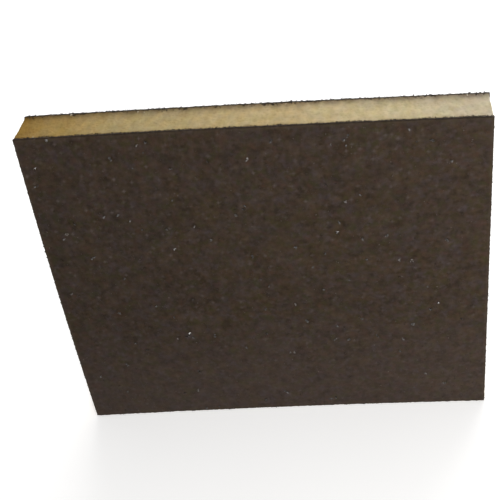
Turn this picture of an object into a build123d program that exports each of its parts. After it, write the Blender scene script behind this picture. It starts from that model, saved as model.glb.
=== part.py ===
from build123d import *
import os

# Double-sided foam sanding pad, in millimetres.
# The pad stands on one long cut edge: X runs along its length, Z up its width,
# and Y through its thickness, with the front abrasive face looking towards -Y.
# The origin is the centre of the bottom edge.

# Driving dimensions
pad_length = 120.0
pad_width = 100.0
pad_thickness = 12.5
corner_radius = 0.3

# One abrasive coating, from the foam outwards: (layer name, thickness)
coating_layers = [
    ("barrier_coat", 0.20),
    ("make_coat", 0.15),
    ("grain_layer", 0.30),
    ("size_coat", 0.15),
]

# Worked out from the driving dimensions
coating_thickness = sum(thickness for layer, thickness in coating_layers)
foam_thickness = pad_thickness - 2 * coating_thickness
pad_mid_height = pad_width / 2

os.makedirs("parts", exist_ok=True)


def sheet_between(inner_y, outer_y):
    """One flat layer of the pad: the die-cut outline, filled from inner_y to outer_y."""
    face_plane = Plane(origin=(0, inner_y, pad_mid_height), x_dir=(1, 0, 0), z_dir=(0, 1, 0))
    with BuildPart() as layer:
        with BuildSketch(face_plane):
            RectangleRounded(pad_length, pad_width, corner_radius)
        extrude(amount=outer_y - inner_y)
    return layer


# Foam core: one slab of open-cell foam, cut through together with its coatings
foam_core = sheet_between(-foam_thickness / 2, foam_thickness / 2)
foam_core.part.label = "foam_core"
export_step(foam_core.part, "parts/foam_core.step")

# Coatings: the same four layers on both faces, each lying on the one below it
for side, outward in (("front", -1), ("back", 1)):
    layer_start = foam_thickness / 2
    for layer_name, layer_thickness in coating_layers:
        layer_end = layer_start + layer_thickness
        coat = sheet_between(outward * layer_start, outward * layer_end)
        coat.part.label = f"{side}_{layer_name}"
        export_step(coat.part, f"parts/{side}_{layer_name}.step")
        layer_start = layer_end
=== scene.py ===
import math

import bmesh
import bpy
import numpy as np
from mathutils import Matrix, Vector, noise


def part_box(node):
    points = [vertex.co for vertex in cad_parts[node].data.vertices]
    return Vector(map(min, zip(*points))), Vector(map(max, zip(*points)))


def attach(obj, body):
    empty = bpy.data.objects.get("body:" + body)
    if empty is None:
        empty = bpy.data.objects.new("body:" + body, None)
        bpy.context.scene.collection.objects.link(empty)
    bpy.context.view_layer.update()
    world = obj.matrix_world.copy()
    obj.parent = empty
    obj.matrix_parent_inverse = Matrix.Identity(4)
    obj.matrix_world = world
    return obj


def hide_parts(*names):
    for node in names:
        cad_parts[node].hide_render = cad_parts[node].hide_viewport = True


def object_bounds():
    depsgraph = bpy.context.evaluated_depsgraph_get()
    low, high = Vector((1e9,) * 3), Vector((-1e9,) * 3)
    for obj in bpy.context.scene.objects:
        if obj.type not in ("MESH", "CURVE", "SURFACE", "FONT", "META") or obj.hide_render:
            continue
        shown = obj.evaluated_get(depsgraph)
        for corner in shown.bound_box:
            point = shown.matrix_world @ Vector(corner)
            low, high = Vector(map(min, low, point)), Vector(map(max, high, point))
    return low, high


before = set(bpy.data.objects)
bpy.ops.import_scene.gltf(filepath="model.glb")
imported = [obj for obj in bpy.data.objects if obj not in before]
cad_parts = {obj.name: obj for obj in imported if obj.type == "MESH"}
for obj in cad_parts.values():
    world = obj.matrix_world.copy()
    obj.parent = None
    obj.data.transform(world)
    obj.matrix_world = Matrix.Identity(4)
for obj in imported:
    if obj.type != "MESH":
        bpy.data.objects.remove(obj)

cad_low, cad_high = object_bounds()

# ---------------------------------------------------------------------------
# Sizes and places, in metres, and colours
# ---------------------------------------------------------------------------
MM = 0.001
HALF_LENGTH = cad_high.x
WIDTH = cad_high.z
HALF_WIDTH = WIDTH / 2
CORNER = 0.3 * MM
FOAM_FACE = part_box("foam_core")[1].y
BARRIER_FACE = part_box("back_barrier_coat")[1].y
MAKE_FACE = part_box("back_make_coat")[1].y

# The soft pad is never quite flat or square: how far its corners are twisted, its middle lies
# back from its ends, and the middle of its left end stands out
TWIST = 1.2 * MM
HOLLOW = 0.6 * MM
LEFT_BOW = 0.5 * MM

# Distances between neighbouring points of the meshes, the steps round a corner of the outline, and
# the rings drawn in over a flat face
FOAM_SPACING = 0.28 * MM
SKIN_SPACING = 0.38 * MM
RIM_SPACING = 0.30 * MM
ARC_STEPS = 2
CAP_SCALES = (0.2, 0.4, 0.6, 0.8)

# The foam's cut edge: its hollow, slow sway and fuzz, its open cells, and the strip beside a coat
# where they fade out
FOAM_WAIST = 0.08 * MM
FOAM_SWAY = 0.14 * MM
FOAM_FUZZ = 0.05 * MM
CELL_SIZE = 0.8 * MM
CELL_DEPTH = 0.20 * MM
COAT_HOLD = 0.8 * MM
CRUMBS = 40

# How far a film's cut edge strays from the cut
BARRIER_RAGGED = 0.10 * MM
MAKE_RAGGED = 0.14 * MM
SKIN_RAGGED = 0.10 * MM

# The size coat: its height over the make coat, the grains' relief in it, its fall at the rim, how
# far in from the rim it is worn and painted with sheen, and the share of grains that show pale through it
SKIN_HEIGHT = 0.12 * MM
SKIN_RELIEF = 0.28 * MM
RIM_FALL = 0.08 * MM
RIM_WIDTH = 0.9 * MM
PALE_SHARE = 0.034

# Crystals: how many stand on a face and along its rim, and how large they are
FACE_CRYSTALS = 6000
RIM_CRYSTALS = 3000
RIM_CLUSTERS = 220
CLUSTER_CRYSTALS = 9
BARE_GROUPS = 100
CRYSTAL_SIZE = 0.32 * MM

# Each side's direction, its random seed, and how far its crystals lie over the foam and stand out
SIDES = {"front": -1, "back": 1}
SEEDS = {"front": 11, "back": 23}
SPILL = {"front": 0.60 * MM, "back": 1.1 * MM}
STAND = {"front": 0.20 * MM, "back": 0.70 * MM}

# Colours that a material mixes in or multiplies by
YELLOWER = (1.01, 0.94, 0.78, 1)
GREENER = (0.94, 1.00, 0.86, 1)
PAINTED_CELL_SHADE = (0.86, 0.82, 0.76, 1)
TORN_FOAM = (0.66, 0.60, 0.47, 1)
RED_RESIN = (0.0330, 0.0200, 0.0145, 1)
OLIVE_RESIN = (0.0262, 0.0216, 0.0106, 1)
VIOLET_RESIN = (0.0345, 0.0254, 0.0215, 1)
PALE_GRAIN = (0.072, 0.058, 0.053, 1)
FLOOR_SHEEN = (0.130, 0.100, 0.098, 1)
WORN_RESIN_AND_SHEEN = (0.046, 0.033, 0.022, 1)
GRAIN_SHADE = (0.80, 0.77, 0.74, 1)
RESIN_FILM = (0.040, 0.030, 0.023, 1)

FLOOR_REACH = 6.0

# The camera stands in front of the pad, above it and a little to its right
CAMERA_PLACE = Vector((34.9, -209.7, 220.3)) * MM
CAMERA_TARGET = Vector((4.5, -6.0, 61.9)) * MM
CAMERA_ROLL = math.radians(-7.7)
CAMERA_LENS = 69.5
CAMERA_SHIFT = -0.06


# ---------------------------------------------------------------------------
# Shader helper
# ---------------------------------------------------------------------------
class Shader:
    """One material's node tree, with short calls to add and join nodes. Sizes are in millimetres."""

    def __init__(self, name):
        self.material = bpy.data.materials.new(name)
        self.material.use_nodes = True
        self.tree = self.material.node_tree
        self.surface = self.tree.nodes["Principled BSDF"]
        self.place = self.tree.nodes.new("ShaderNodeTexCoord").outputs["Object"]

    def set(self, **values):
        """Sets the surface shader's own sockets; underscores in a name stand for spaces."""
        for name, value in values.items():
            self.surface.inputs[name.replace("_", " ")].default_value = value

    def stretched(self, across):
        """The object's coordinates, drawn out through the pad's thickness by the given factor."""
        node = self.tree.nodes.new("ShaderNodeVectorMath")
        node.operation = "MULTIPLY"
        self.join(self.place, node.inputs[0])
        node.inputs[1].default_value = (1, 1 / across, 1)
        return node.outputs["Vector"]

    def join(self, source, socket):
        if isinstance(source, bpy.types.NodeSocket):
            self.tree.links.new(source, socket)
        else:
            socket.default_value = source

    def noise(self, size, detail=2.0, warp=0.0, place=None):
        node = self.tree.nodes.new("ShaderNodeTexNoise")
        self.join(place or self.place, node.inputs["Vector"])
        node.inputs["Scale"].default_value = 1 / (size * MM)
        node.inputs["Detail"].default_value = detail
        node.inputs["Distortion"].default_value = warp
        return node.outputs["Fac"]

    def cells(self, size):
        node = self.tree.nodes.new("ShaderNodeTexVoronoi")
        self.join(self.place, node.inputs["Vector"])
        node.inputs["Scale"].default_value = 1 / (size * MM)
        return node.outputs["Distance"]

    def attribute(self, name):
        node = self.tree.nodes.new("ShaderNodeAttribute")
        node.attribute_name = name
        return node.outputs["Fac"]

    def axis(self, name):
        node = self.tree.nodes.new("ShaderNodeSeparateXYZ")
        self.join(self.place, node.inputs["Vector"])
        return node.outputs[name]

    def math(self, operation, first, second=0.0):
        node = self.tree.nodes.new("ShaderNodeMath")
        node.operation = operation
        for source, socket in zip((first, second), node.inputs):
            self.join(source, socket)
        return node.outputs["Value"]

    def span(self, value, low, high, to_low=0.0, to_high=1.0, smooth=False):
        """Maps value from low..high to to_low..to_high, clamped."""
        node = self.tree.nodes.new("ShaderNodeMapRange")
        node.interpolation_type = "SMOOTHSTEP" if smooth else "LINEAR"
        for source, socket in zip((value, low, high, to_low, to_high), node.inputs):
            self.join(source, socket)
        return node.outputs["Result"]

    def ramp(self, value, *stops):
        """A colour ramp through (place, colour) stops."""
        node = self.tree.nodes.new("ShaderNodeValToRGB")
        self.join(value, node.inputs["Fac"])
        while len(node.color_ramp.elements) < len(stops):
            node.color_ramp.elements.new(0.5)
        for element, (place, colour) in zip(node.color_ramp.elements, stops):
            element.position = place
            element.color = (*colour, 1.0)
        return node.outputs["Color"]

    def mix(self, factor, first, second, blend="MIX"):
        """Mixes the second colour into the first, as strongly as factor says."""
        node = self.tree.nodes.new("ShaderNodeMix")
        node.data_type = "RGBA"
        node.blend_type = blend
        # the node's sockets 6 and 7 are its two colours, and its output 2 is the mixed one
        self.join(factor, node.inputs["Factor"])
        self.join(first, node.inputs[6])
        self.join(second, node.inputs[7])
        return node.outputs[2]

    def tint(self, factor, colour, by):
        """Multiplies a colour by another, as strongly as factor says."""
        return self.mix(factor, colour, by, "MULTIPLY")

    def bump(self, height, distance, strength=1.0, under=None):
        """Bump of the given height field; distance is in millimetres."""
        node = self.tree.nodes.new("ShaderNodeBump")
        node.inputs["Strength"].default_value = strength
        node.inputs["Distance"].default_value = distance * MM
        self.join(height, node.inputs["Height"])
        if under is not None:
            self.join(under, node.inputs["Normal"])
        return node.outputs["Normal"]

    def colour(self, source):
        self.join(source, self.surface.inputs["Base Color"])

    def roughness(self, source):
        self.join(source, self.surface.inputs["Roughness"])

    def normal(self, source):
        self.join(source, self.surface.inputs["Normal"])


# ---------------------------------------------------------------------------
# Materials
# ---------------------------------------------------------------------------
def foam_material():
    """Open-cell foam: ochre at the left end to pale cream at the right, partly its own yellowing and partly
    painted shade; darker beside the coats.
    """
    m = Shader("foam")
    m.set(Roughness=0.9, Specular_IOR_Level=0.1)
    # partly the foam's own yellowing and partly painted shade: darker and more ochre towards the left end,
    # where less light falls
    along = m.math("ADD", m.axis("X"), m.span(m.noise(18, 2), 0, 1, -9 * MM, 9 * MM))
    body = m.ramp(m.span(along, -HALF_LENGTH, HALF_LENGTH),
                  (0.00, (0.33, 0.197, 0.044)), (0.10, (0.46, 0.330, 0.136)),
                  (0.24, (0.50, 0.400, 0.215)), (0.55, (0.62, 0.490, 0.276)),
                  (0.85, (0.70, 0.600, 0.400)), (1.00, (0.70, 0.610, 0.470)))
    # the foam rose through the pad's thickness, so its mottles run that way
    risen = m.stretched(1.7)
    body = m.tint(1.0, body, m.span(m.noise(2.0, 1.5, place=risen), 0.30, 0.70, 0.88, 1.10))
    # partly aged foam and partly painted warm shade: the foam is yellower towards the left end
    aged_and_shaded = m.span(m.axis("X"), -HALF_LENGTH, HALF_LENGTH, 1.3, 0.7)
    yellow = m.math("MULTIPLY", aged_and_shaded, m.span(m.noise(2.4, 2, place=risen), 0.35, 0.65, 0, 0.7))
    body = m.tint(yellow, body, YELLOWER)
    body = m.tint(m.span(m.noise(2.2, 1, place=risen), 0.42, 0.66, 0, 0.5), body, GREENER)
    # painted shade: the foam is darker in the middle of each open cell, where its pit lies in shadow
    body = m.tint(m.attribute("pit"), body, PAINTED_CELL_SHADE)
    # depth runs from 0 at the front coat to 1 at the back one; the foam is darker beside each coat, over a
    # wider strip beside the back one
    uneven = m.span(m.noise(2.4, 2, place=m.stretched(4.0)), 0.2, 0.8, -0.07, 0.07)
    depth = m.math("ADD", m.attribute("depth"), uneven)
    darker_by_coats = m.ramp(depth, (0.00, (0.66, 0.62, 0.58)), (0.05, (0.88, 0.86, 0.84)), (0.11, (1.0, 1.0, 1.0)),
                    (0.60, (1.0, 1.0, 1.0)), (0.76, (0.87, 0.86, 0.87)), (0.82, (0.77, 0.76, 0.77)),
                    (0.88, (0.62, 0.61, 0.62)), (0.94, (0.49, 0.47, 0.49)), (1.00, (0.40, 0.37, 0.37)))
    body = m.tint(1.0, body, darker_by_coats)
    body = m.mix(m.attribute("crumb"), body, TORN_FOAM)
    m.colour(body)
    fine = m.bump(m.cells(0.34), 0.12, 0.6)
    m.normal(m.bump(m.noise(0.16, 3), 0.06, 0.35, under=fine))
    return m.material


def barrier_material():
    """The latex seal, stained by the resin on it."""
    m = Shader("barrier_latex")
    m.set(Roughness=0.7, Specular_IOR_Level=0.3)
    m.colour(m.ramp(m.noise(0.7, 3), (0.3, (0.050, 0.034, 0.021)), (0.7, (0.105, 0.075, 0.046))))
    m.normal(m.bump(m.noise(0.25, 3), 0.08, 0.6))
    return m.material


def make_material():
    """The make coat: dark brown resin that shows only at the cut edge."""
    m = Shader("make_resin")
    m.set(Roughness=0.5, Specular_IOR_Level=0.3)
    m.colour(m.ramp(m.noise(0.6, 3), (0.3, (0.026, 0.018, 0.012)), (0.7, (0.052, 0.037, 0.025))))
    m.normal(m.bump(m.noise(0.2, 3), 0.08, 0.6))
    return m.material


def skin_material():
    """The size coat over the grains: dark brown resin, mottled red, olive and violet."""
    m = Shader("size_resin")
    m.set(Specular_IOR_Level=0.05)
    base = m.ramp(m.noise(2.2, 3), (0.30, (0.0192, 0.0134, 0.0084)), (0.50, (0.0275, 0.0192, 0.0125)),
                  (0.70, (0.0372, 0.0264, 0.0178)))
    base = m.mix(m.span(m.noise(1.9, 2), 0.48, 0.68, 0, 1), base, RED_RESIN)
    base = m.mix(m.span(m.noise(2.4, 2, warp=0.4), 0.50, 0.70, 0, 1), base, OLIVE_RESIN)
    base = m.mix(m.span(m.noise(1.7, 2, warp=0.4), 0.50, 0.70, 0, 0.9), base, VIOLET_RESIN)
    base = m.tint(1.0, base, m.span(m.noise(1.3, 2), 0.28, 0.72, 0.87, 1.14))
    # painted light: the resin is a little paler towards the right end, nearer the key lamp
    base = m.tint(1.0, base, m.span(m.axis("X"), -HALF_LENGTH, HALF_LENGTH, 0.86, 1.10))
    # broad patches of thicker and thinner resin
    base = m.tint(1.0, base, m.span(m.noise(5.0, 2), 0.30, 0.70, 0.90, 1.10))
    patch = m.ramp(m.noise(3.6, 2), (0.35, (1.06, 1.00, 0.89)), (0.65, (0.98, 0.99, 1.13)))
    base = m.tint(1.0, base, patch)
    base = m.tint(1.0, base, m.span(m.attribute("grain_height"), 0.15, 0.85, 0.94, 1.06))
    # pale grains that show through the resin
    base = m.mix(m.attribute("pale"), base, PALE_GRAIN)
    # painted sheen: the resin is paler and bluer towards the bottom edge, standing in for the white floor's
    # sheen on it
    low = m.math("ADD", m.axis("Z"), m.span(m.noise(20, 2), 0, 1, -10 * MM, 10 * MM))
    base = m.mix(m.span(low, 0, 0.46 * WIDTH, 0.10, 0, smooth=True), base, FLOOR_SHEEN)
    # the resin is paler along the cut: partly worn, partly a painted sheen on the edge
    worn_and_sheen = m.math("MULTIPLY", m.attribute("rim"), m.span(m.noise(1.5, 3), 0.3, 0.7, 0.2, 1.0))
    base = m.mix(worn_and_sheen, base, WORN_RESIN_AND_SHEEN)
    m.colour(base)
    m.roughness(m.span(m.noise(0.8, 2), 0.3, 0.7, 0.55, 0.75))
    coarse = m.bump(m.cells(0.30), 0.08, 0.35)
    m.normal(m.bump(m.noise(0.14, 3), 0.04, 0.3, under=coarse))
    return m.material


def grain_material():
    """Brown aluminium oxide under a film of resin."""
    m = Shader("abrasive_grain")
    m.set(Specular_IOR_Level=0.15)
    # the palest grains, at the top of the tone ramp, are partly paler grains and partly painted faint
    # glints
    colour = m.ramp(m.attribute("tone"), (0.00, (0.021, 0.0148, 0.0095)), (0.50, (0.028, 0.0197, 0.0128)),
                    (0.90, (0.036, 0.0265, 0.019)), (1.00, (0.095, 0.078, 0.066)))
    m.colour(m.tint(m.span(m.noise(0.2, 2), 0.3, 0.7, 0, 0.5), colour, GRAIN_SHADE))
    m.roughness(m.span(m.noise(0.5, 2), 0.3, 0.7, 0.45, 0.6))
    return m.material


def bare_material():
    """Crystals that the resin left bare: pale and slightly warm, with bright facets; some are painted much
    paler than the rest, as painted glints.
    """
    m = Shader("bare_crystal")
    m.set(Specular_IOR_Level=0.6)
    hue = m.ramp(m.noise(4.0, 1), (0.40, (1.16, 1.00, 0.88)), (0.62, (1.06, 1.00, 0.96)))
    clean_and_glinting = m.tint(1.0, hue, m.attribute("glint"))
    m.colour(m.mix(m.span(m.noise(0.25, 2), 0.35, 0.75, 0, 0.5), clean_and_glinting, RESIN_FILM))
    m.roughness(m.span(m.noise(0.4, 2), 0.3, 0.7, 0.12, 0.3))
    return m.material


def floor_material():
    """Plain and nearly white, with some light of its own."""
    m = Shader("studio_floor")
    m.set(Roughness=0.9, Specular_IOR_Level=0.1, Emission_Color=(1, 1, 1, 1))
    # a little dimmer round the pad, so that its shadow shows
    x, y = m.axis("X"), m.axis("Y")
    reach = m.math("SQRT", m.math("ADD", m.math("MULTIPLY", x, x), m.math("MULTIPLY", y, y)))
    m.join(m.span(reach, 0.10, 0.45, 0.42, 0.74, smooth=True), m.surface.inputs["Emission Strength"])
    m.colour(m.ramp(m.noise(60, 2), (0.3, (0.88, 0.88, 0.88)), (0.7, (0.90, 0.90, 0.90))))
    return m.material


# ---------------------------------------------------------------------------
# Mesh helpers
# ---------------------------------------------------------------------------
def outline(spacing):
    """Points round the die-cut outline, as x, z and the outward direction's x and z."""
    centre_x, centre_z = HALF_LENGTH - CORNER, HALF_WIDTH - CORNER
    corners = [(centre_x, -centre_z, -90), (centre_x, centre_z, 0),
               (-centre_x, centre_z, 90), (-centre_x, -centre_z, 180)]
    points = []
    for turn, (x, z, start) in enumerate(corners):
        for step in range(ARC_STEPS + 1):
            angle = math.radians(start + 90 * step / ARC_STEPS)
            points.append((x + CORNER * math.cos(angle), z + CORNER * math.sin(angle),
                           math.cos(angle), math.sin(angle)))
        side_length = 2 * (centre_z if turn % 2 == 0 else centre_x)
        steps = round(side_length / spacing)
        along = math.radians(start + 180)
        x_end, z_end, out_x, out_z = points[-1]
        for step in range(1, steps):
            run = side_length * step / steps
            points.append((x_end + run * math.cos(along), z_end + run * math.sin(along), out_x, out_z))
    ring = np.array(points)
    ring[:, 1] += HALF_WIDTH
    return ring


def relax(points):
    """Moves the flat pad's points to the soft pad's shape: twisted, hollow in front, left end bowed."""
    x, y, z = np.asarray(points, dtype=float).T
    along, up = x / HALF_LENGTH, z / HALF_WIDTH - 1
    y = y - TWIST * along * up + HOLLOW * (1 - along ** 2)
    x = x - LEFT_BOW * (1 - up ** 2) * (1 - along) / 2
    return np.stack([x, y, z], axis=-1)


def make_piece(name, vertices, faces, material, node, slot, smooth=True, **values):
    """A mesh piece that rides on the pad and stands for one CAD node; values are one number a point."""
    mesh = bpy.data.meshes.new(name)
    mesh.from_pydata(relax(vertices).tolist(), [], faces)
    builder = bmesh.new()
    builder.from_mesh(mesh)
    bmesh.ops.recalc_face_normals(builder, faces=builder.faces)
    builder.to_mesh(mesh)
    builder.free()
    mesh.polygons.foreach_set("use_smooth", np.full(len(mesh.polygons), smooth))
    for key, numbers in values.items():
        mesh.attributes.new(key, "FLOAT", "POINT").data.foreach_set("value", numbers)
    mesh.materials.append(material)
    piece = bpy.data.objects.new(name, mesh)
    bpy.context.scene.collection.objects.link(piece)
    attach(piece, "root")
    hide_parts(node)
    return piece


def towards_middle(ring, scale):
    """A ring drawn in over a flat face of the pad."""
    middle = np.array([0.0, 0.0, HALF_WIDTH])
    return middle + (ring - middle) * (scale, 1, scale)


def tube_faces(rows, count):
    """Quads between neighbouring closed rings of count points, and a flat cap at each end."""
    here = np.arange(rows - 1)[:, None] * count + np.arange(count)
    there = np.roll(here, -1, axis=1)
    quads = np.stack([here, there, there + count, here + count], axis=-1).reshape(-1, 4)
    return [*quads.tolist(), tuple(range(count)), tuple(range((rows - 1) * count, rows * count))]


def closed_layer(ring, rows):
    """A slab from rows of (depth, push outwards) along its cut edge, closed over both of its faces."""
    x, z, out_x, out_z = ring.T
    side = [np.stack([x + out_x * push, np.full(len(ring), depth), z + out_z * push], axis=-1)
            for depth, push in rows]
    stack = [*(towards_middle(side[0], scale) for scale in CAP_SCALES), *side,
             *(towards_middle(side[-1], scale) for scale in reversed(CAP_SCALES))]
    return np.concatenate(stack), tube_faces(len(stack), len(ring))


def crystal_shapes(count, random):
    """Blocky crystals about one unit across: convex hulls of a few scattered points."""
    shapes = []
    for _ in range(count):
        builder = bmesh.new()
        for _ in range(9):
            direction = random.normal(size=3)
            direction /= np.linalg.norm(direction)
            builder.verts.new(direction * np.array([0.62, 0.5, 0.42]) * random.uniform(0.8, 1.1))
        hull = bmesh.ops.convex_hull(builder, input=builder.verts)
        loose = [v for v in hull["geom_interior"] if isinstance(v, bmesh.types.BMVert)]
        bmesh.ops.delete(builder, geom=loose, context="VERTS")
        bmesh.ops.recalc_face_normals(builder, faces=builder.faces)
        builder.verts.index_update()
        shapes.append((np.array([v.co[:] for v in builder.verts]),
                       np.array([[v.index for v in f.verts] for f in builder.faces])))
        builder.free()
    return shapes


def random_turns(count, random):
    """Random rotation matrices, from random quaternions."""
    q = random.normal(size=(count, 4))
    w, x, y, z = (q / np.linalg.norm(q, axis=1, keepdims=True)).T
    return np.stack([
        1 - 2 * (y * y + z * z), 2 * (x * y - z * w), 2 * (x * z + y * w),
        2 * (x * y + z * w), 1 - 2 * (x * x + z * z), 2 * (y * z - x * w),
        2 * (x * z - y * w), 2 * (y * z + x * w), 1 - 2 * (x * x + y * y)], axis=-1).reshape(-1, 3, 3)


def scatter(places, sizes, numbers, random):
    """One crystal at each place: vertices, faces and each point's share of numbers."""
    turns = random_turns(len(places), random)
    shapes = crystal_shapes(12, random)
    kinds = random.randint(len(shapes), size=len(places))
    vertices, faces, values = [], [], []
    start = 0
    for kind, (points, triangles) in enumerate(shapes):
        mine = np.nonzero(kinds == kind)[0]
        turned = np.einsum("nij,pj->npi", turns[mine], points) * sizes[mine, None, None]
        vertices.append((turned + places[mine, None, :]).reshape(-1, 3))
        offsets = start + np.arange(len(mine)) * len(points)
        faces.append((triangles[None, :, :] + offsets[:, None, None]).reshape(-1, 3))
        values.append(np.repeat(numbers[mine], len(points)))
        start += len(mine) * len(points)
    return np.concatenate(vertices), np.concatenate(faces), np.concatenate(values)


# ---------------------------------------------------------------------------
# Foam core
# ---------------------------------------------------------------------------
def cell_pit(x, y, z):
    """How deep the foam's cut surface lies here, from 0 on a cell wall to 1 in a cell's middle."""
    nearest = noise.voronoi(Vector((x, y, z)) / CELL_SIZE)[0][0]
    return max(0.0, 1.0 - nearest / 0.62) ** 1.5


def foam_push(x, y, z, pit):
    """How far the foam's cut edge stands out from the straight cut at this point."""
    waist = -FOAM_WAIST * (1.0 - (y / FOAM_FACE) ** 2)
    sway = FOAM_SWAY * noise.noise(Vector((x, y * 2, z)) / (9 * MM))
    fuzz = FOAM_FUZZ * noise.noise(Vector((x, y, z)) / (0.45 * MM))
    # beside a coat the foam is held to the straight cut
    free = min(1.0, (FOAM_FACE - abs(y)) / COAT_HOLD)
    return waist + (sway + fuzz - CELL_DEPTH * pit) * free


def make_foam():
    ring = outline(FOAM_SPACING)
    levels = np.linspace(-FOAM_FACE, FOAM_FACE, round(2 * FOAM_FACE / FOAM_SPACING) + 1)
    pits = [[cell_pit(x, y, z) for x, z in ring[:, :2]] for y in levels]
    rows = [(y, np.array([foam_push(x, y, z, pit) for (x, z), pit in zip(ring[:, :2], row)]))
            for y, row in zip(levels, pits)]
    vertices, faces = closed_layer(ring, rows)
    cap = [[0.0] * len(ring)] * len(CAP_SCALES)
    pit = np.array(cap + pits + cap).reshape(-1)

    # crumbs of torn foam that cling near the coats
    random = np.random.RandomState(5)
    chosen = ring[random.randint(len(ring), size=CRUMBS)]
    depth = FOAM_FACE - random.uniform(0.1, 1.2, CRUMBS) * MM
    places = np.stack([chosen[:, 0], depth * random.choice([-1, 1], CRUMBS), chosen[:, 1]], axis=-1)
    crumbs, crumb_faces, paleness = scatter(places, random.uniform(0.35, 0.75, CRUMBS) * MM,
                                            random.uniform(0.2, 1.0, CRUMBS), random)
    crumb = np.concatenate([np.zeros(len(vertices)), paleness])
    pit = np.concatenate([pit, np.zeros(len(crumbs))])
    faces += (crumb_faces + len(vertices)).tolist()
    vertices = np.concatenate([vertices, crumbs])
    foam = make_piece("foam_slab", vertices, faces, foam_material(), "foam_core", "foam",
                      depth=(vertices[:, 1] / FOAM_FACE + 1) / 2, crumb=crumb, pit=pit)


# ---------------------------------------------------------------------------
# Coats
# ---------------------------------------------------------------------------
def make_film(name, inner, outer, side, ragged, material, node, slot):
    """A thin coat between two depths, with the ragged edge that the cutting die leaves."""
    ring = outline(RIM_SPACING)
    random = np.random.RandomState(SEEDS[side] + len(name))
    rows = [(SIDES[side] * depth, ragged * (random.rand(len(ring)) - 0.3))
            for depth in (inner, (inner + outer) / 2, outer)]
    vertices, faces = closed_layer(ring, rows)
    return make_piece(name, vertices, faces, material, node, slot)


def blur(field, times):
    """Evens a grid of values out with its neighbours."""
    for _ in range(times):
        padded = np.pad(field, 1, mode="edge")
        field = (padded[:-2, 1:-1] + padded[2:, 1:-1] + padded[1:-1, :-2] + padded[1:-1, 2:]
                 + 2 * field) / 6
    return field


def to_unit(field):
    """A grid of values stretched to run from 0 to 1."""
    return (field - field.min()) / np.ptp(field)


def make_skin(side, material):
    """The size coat: one closed skin whose outer face follows the grains under it."""
    random = np.random.RandomState(SEEDS[side])
    x, z = np.meshgrid(np.linspace(-HALF_LENGTH, HALF_LENGTH, round(2 * HALF_LENGTH / SKIN_SPACING) + 1),
                       np.linspace(-HALF_WIDTH, HALF_WIDTH, round(WIDTH / SKIN_SPACING) + 1), indexing="ij")
    shape = x.shape
    inside = np.zeros(shape)
    inside[1:-1, 1:-1] = 1
    x = x + inside * (random.rand(*shape) - 0.5) * 0.6 * SKIN_SPACING
    z = z + inside * (random.rand(*shape) - 0.5) * 0.6 * SKIN_SPACING
    # one grain at each point, in thin and thick patches
    grains = to_unit(blur(random.rand(*shape), 1))
    patches = to_unit(blur(random.rand(*shape), 40))
    relief = 0.8 * grains + 0.2 * patches
    height = MAKE_FACE + SKIN_HEIGHT + SKIN_RELIEF * relief - RIM_FALL * (1 - inside)
    # some grains show pale through the resin, more clearly towards the top edge
    pale = (random.rand(*shape) < PALE_SHARE) * np.minimum(random.exponential(0.22, shape), 1)
    pale = np.minimum(2.4 * blur(pale, 1), 1) * (0.7 + 0.3 * z / HALF_WIDTH)
    # the die leaves the rim a little ragged
    ragged = (1 - inside) * (random.rand(*shape) - 0.5) * SKIN_RAGGED
    x = x + np.where(np.abs(x) > HALF_LENGTH - 0.01 * MM, np.sign(x) * ragged, 0)
    z = z + np.where(np.abs(z) > HALF_WIDTH - 0.01 * MM, np.sign(z) * ragged, 0)
    outer = np.stack([x, SIDES[side] * height, z + HALF_WIDTH], axis=-1).reshape(-1, 3)

    index = np.arange(x.size).reshape(shape)
    quads = np.stack([index[:-1, :-1], index[1:, :-1], index[1:, 1:], index[:-1, 1:]], axis=-1)
    rim = np.array([*index[:, 0], *index[-1, 1:], *index[-2::-1, -1], *index[0, -2:0:-1]])
    base = outer[rim] * (1, 0, 1) + (0, SIDES[side] * MAKE_FACE, 0)
    under = [base, *(towards_middle(base, scale) for scale in reversed(CAP_SCALES))]
    # the underside's rings follow the outer grid's points, and its first ring joins on to the rim
    down = np.array(tube_faces(len(under), len(rim))[:-2]) + len(outer)
    after = np.roll(np.arange(len(rim)), -1)
    wall = np.stack([rim, rim[after], len(outer) + after, len(outer) + np.arange(len(rim))], axis=-1)
    last = len(outer) + (len(under) - 1) * len(rim)
    faces = [*quads.reshape(-1, 4).tolist(), *wall.tolist(), *down.tolist(),
             tuple(range(last, last + len(rim)))]
    vertices = np.concatenate([outer, *under])
    below = np.zeros(len(vertices) - len(outer))
    to_edge = np.minimum(HALF_LENGTH - np.abs(x), HALF_WIDTH - np.abs(z))
    rim_level = np.clip(1 - to_edge / RIM_WIDTH, 0, 1)
    return make_piece(f"{side}_size_skin", vertices, faces, material, f"{side}_size_coat", "size_resin",
                      grain_height=np.concatenate([relief.reshape(-1), below]),
                      rim=np.concatenate([rim_level.reshape(-1), below]),
                      pale=np.concatenate([pale.reshape(-1), below]))


def face_places(side, count, low, high, random):
    """Random places on one face of the pad, between two heights over the make coat."""
    return np.stack([random.uniform(-0.997, 0.997, count) * HALF_LENGTH,
                     SIDES[side] * (MAKE_FACE + random.uniform(low, high, count)),
                     random.uniform(0.003, 0.997, count) * WIDTH], axis=-1)


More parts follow.
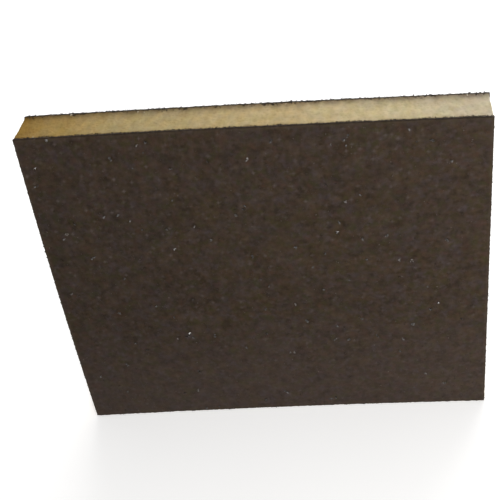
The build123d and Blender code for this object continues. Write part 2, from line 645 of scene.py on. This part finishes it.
def rim_places(side, random):
    """Places of the crystals along the cut rim: evenly along it, and in clusters pushed over the foam."""
    ring = outline(RIM_SPACING)
    even = random.randint(len(ring), size=RIM_CRYSTALS)
    even_depth = random.uniform(FOAM_FACE - 0.35 * SPILL[side], MAKE_FACE + STAND[side], len(even))
    centres = np.repeat(random.randint(len(ring), size=RIM_CLUSTERS), CLUSTER_CRYSTALS)
    spread = np.round(random.normal(0, 2.0, len(centres))).astype(int)
    reach = np.repeat(random.rand(RIM_CLUSTERS), CLUSTER_CRYSTALS) * random.rand(len(centres))
    cluster_depth = FOAM_FACE - SPILL[side] * reach
    chosen = ring[np.concatenate([even, (centres + spread) % len(ring)])]
    out = random.uniform(-0.17, 0.04, len(chosen)) * MM
    return np.stack([chosen[:, 0] + chosen[:, 2] * out,
                     SIDES[side] * np.concatenate([even_depth, cluster_depth]),
                     chosen[:, 1] + chosen[:, 3] * out], axis=-1)


def make_grains(side, coated, bare):
    """Crystals that stand out of the size coat: coated ones, more along the rim, and a few bare ones."""
    random = np.random.RandomState(SEEDS[side] + 100)
    places = np.concatenate([face_places(side, FACE_CRYSTALS, 0.10 * MM, 0.30 * MM, random),
                             rim_places(side, random)])
    sizes = np.clip(random.lognormal(math.log(CRYSTAL_SIZE), 0.25, len(places)), 0.18 * MM, 0.55 * MM)
    vertices, faces, tone = scatter(places, sizes, random.rand(len(places)), random)
    make_piece(f"{side}_grains", vertices, faces.tolist(), coated, f"{side}_grain_layer", "abrasive_grain",
               smooth=False, tone=tone)

    # a bare crystal may have one or two more beside it
    groups = random.randint(1, 4, size=BARE_GROUPS)
    places = np.repeat(face_places(side, len(groups), 0.24 * MM, 0.30 * MM, random), groups, axis=0)
    places += random.normal(0, 0.25 * MM, places.shape) * (1, 0, 1)
    # painted glints: a few groups of crystals are painted far paler than the rest, their paleness scattered
    # like the brightness of glints
    glints = np.repeat(np.minimum(0.030 * (1 + random.pareto(2.6, len(groups))), 0.5), groups)
    vertices, faces, glint = scatter(places, random.uniform(0.70, 1.05, len(places)) * MM, glints, random)
    make_piece(f"{side}_bare_crystals", vertices, faces.tolist(), bare, f"{side}_grain_layer",
               "abrasive_grain", smooth=False, glint=glint)


def make_coats():
    barrier, make, skin = barrier_material(), make_material(), skin_material()
    coated, bare = grain_material(), bare_material()
    for side in SIDES:
        make_film(f"{side}_barrier_film", FOAM_FACE, BARRIER_FACE, side, BARRIER_RAGGED, barrier,
                  f"{side}_barrier_coat", "barrier_latex")
        make_film(f"{side}_make_bond", BARRIER_FACE, MAKE_FACE, side, MAKE_RAGGED, make,
                  f"{side}_make_coat", "make_resin")
        make_skin(side, skin)
        make_grains(side, coated, bare)


# ---------------------------------------------------------------------------
# Studio
# ---------------------------------------------------------------------------
def add_light(name, place, target, size, power, colour):
    data = bpy.data.lights.new(name, "AREA")
    data.shape = "RECTANGLE"
    data.size, data.size_y = size
    data.energy = power
    data.color = colour
    light = bpy.data.objects.new(name, data)
    light.location = place
    light.visible_camera = False
    light.rotation_euler = (Vector(target) - Vector(place)).to_track_quat("-Z", "Y").to_euler()
    bpy.context.scene.collection.objects.link(light)


def make_studio():
    middle = (0.0, 0.0, HALF_WIDTH)
    add_light("key", (0.18, -0.36, 0.16), middle, (0.16, 0.16), 1.20, (1.0, 0.985, 0.96))
    add_light("fill", (-0.40, -0.45, 0.40), middle, (0.5, 0.5), 0.15, (1.0, 0.95, 0.88))
    add_light("rear", (0.05, 0.42, 0.32), middle, (0.5, 0.5), 2.0, (1.0, 0.98, 0.96))
    world = bpy.data.worlds.new("studio")
    world.use_nodes = True
    tree = world.node_tree
    tree.nodes["Background"].inputs["Color"].default_value = (1, 1, 1, 1)
    # the light that the surroundings give is soft, and the camera sees them as pale as the floor
    rays = tree.nodes.new("ShaderNodeLightPath")
    level = tree.nodes.new("ShaderNodeMapRange")
    level.inputs["To Min"].default_value = 0.36
    level.inputs["To Max"].default_value = 1.0
    tree.links.new(rays.outputs["Is Camera Ray"], level.inputs["Value"])
    tree.links.new(level.outputs["Result"], tree.nodes["Background"].inputs["Strength"])
    bpy.context.scene.world = world
    bpy.context.scene.view_settings.view_transform = "Standard"

    mesh = bpy.data.meshes.new("studio_floor")
    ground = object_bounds()[0].z
    corners = [(x * FLOOR_REACH, y * FLOOR_REACH, ground) for x, y in ((-1, -1), (1, -1), (1, 1), (-1, 1))]
    mesh.from_pydata(corners, [], [(0, 1, 2, 3)])
    mesh.materials.append(floor_material())
    floor = bpy.data.objects.new("studio_floor", mesh)
    bpy.context.scene.collection.objects.link(floor)


def make_camera():
    data = bpy.data.cameras.new("camera")
    data.sensor_width = 36.0
    data.lens = CAMERA_LENS
    data.shift_x = CAMERA_SHIFT
    data.clip_start = 0.01
    camera = bpy.data.objects.new("camera", data)
    aim = (CAMERA_TARGET - CAMERA_PLACE).to_track_quat("-Z", "Y").to_matrix().to_4x4()
    roll = Matrix.Rotation(CAMERA_ROLL, 4, "Z")
    camera.matrix_world = Matrix.Translation(CAMERA_PLACE) @ aim @ roll
    bpy.context.scene.collection.objects.link(camera)
    bpy.context.scene.camera = camera


make_camera()
make_foam()
make_coats()
make_studio()
